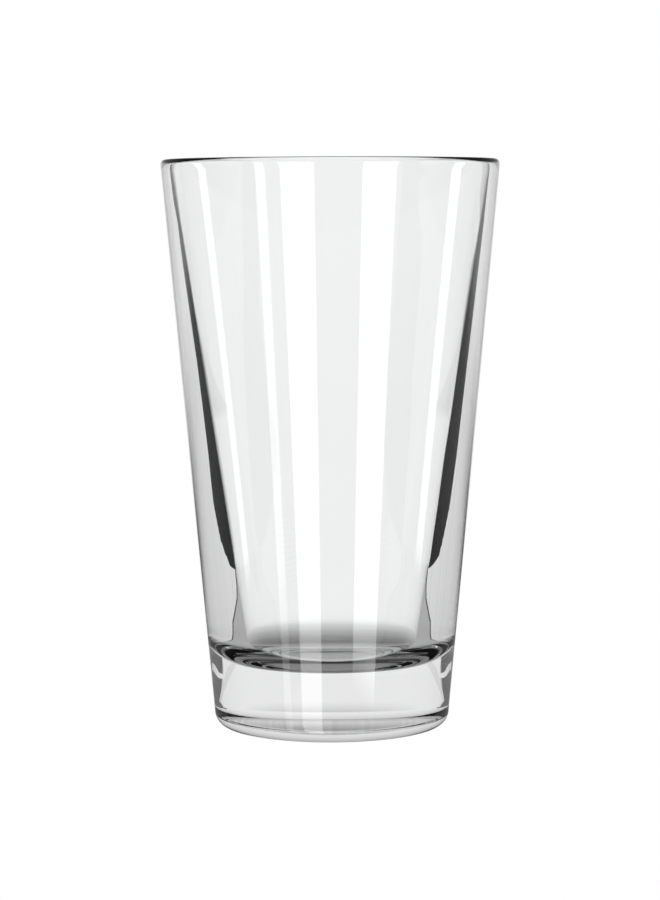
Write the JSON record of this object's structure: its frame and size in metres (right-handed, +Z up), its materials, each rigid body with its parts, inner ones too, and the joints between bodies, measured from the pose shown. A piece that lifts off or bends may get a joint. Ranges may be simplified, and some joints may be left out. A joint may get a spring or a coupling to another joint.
{
  "type": "pint glass",
  "caption": "Clear tapered pint tumbler pressed in one piece of glass, with a thick solid base, a fire-polished rim and a shallow recess inside its foot ring. It holds a drink and stands on its foot.",
  "frame": {"origin": "centre of the foot ring, on the surface the glass stands on", "axes": "+Z up along the glass's axis of revolution, from the foot to the mouth; X and Y are any two square directions, because the glass is round"},
  "size_m": [0.0886, 0.0886, 0.1492],
  "materials": {
    "clear_glass": "polished clear soda-lime glass"
  },
  "bodies": {
    "root": {"tumbler": "clear_glass"}
  },
  "joints": []
}
